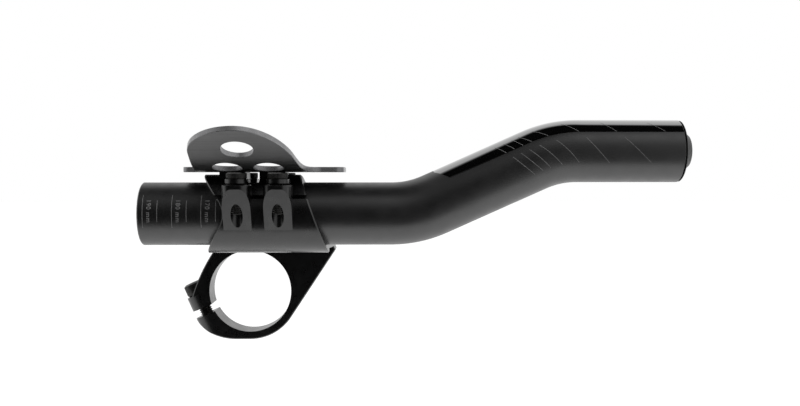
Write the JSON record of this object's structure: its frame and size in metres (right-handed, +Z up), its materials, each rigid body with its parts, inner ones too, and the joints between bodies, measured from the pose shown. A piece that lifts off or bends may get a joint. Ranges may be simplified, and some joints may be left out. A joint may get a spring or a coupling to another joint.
{
  "type": "aero handlebar extension",
  "caption": "S-bend aero bar extension tube in a split clamp on a handlebar ring, with a bent armrest plate on top of the clamp.",
  "frame": {"origin": "centre of the handlebar bore, at the middle of the ring's width", "axes": "+X forward along the extension tube, +Y inboard along the handlebar, +Z up"},
  "size_m": [0.1935, 0.0881, 0.0839],
  "materials": {
    "tube_black": "satin black anodised",
    "clamp_black": "satin black anodised",
    "plate_black": "satin black anodised",
    "bolt_black": "black oxide",
    "plug_black": "satin"
  },
  "bodies": {
    "root": {"extension_tube": "tube_black", "tip_plug": "plug_black", "clamp_body": "clamp_black", "clamp_cap": "clamp_black", "clamp_bolts": "bolt_black", "bar_clamp_bolt": "bolt_black", "armrest_plate": "plate_black", "armrest_screws": "bolt_black"}
  },
  "joints": []
}
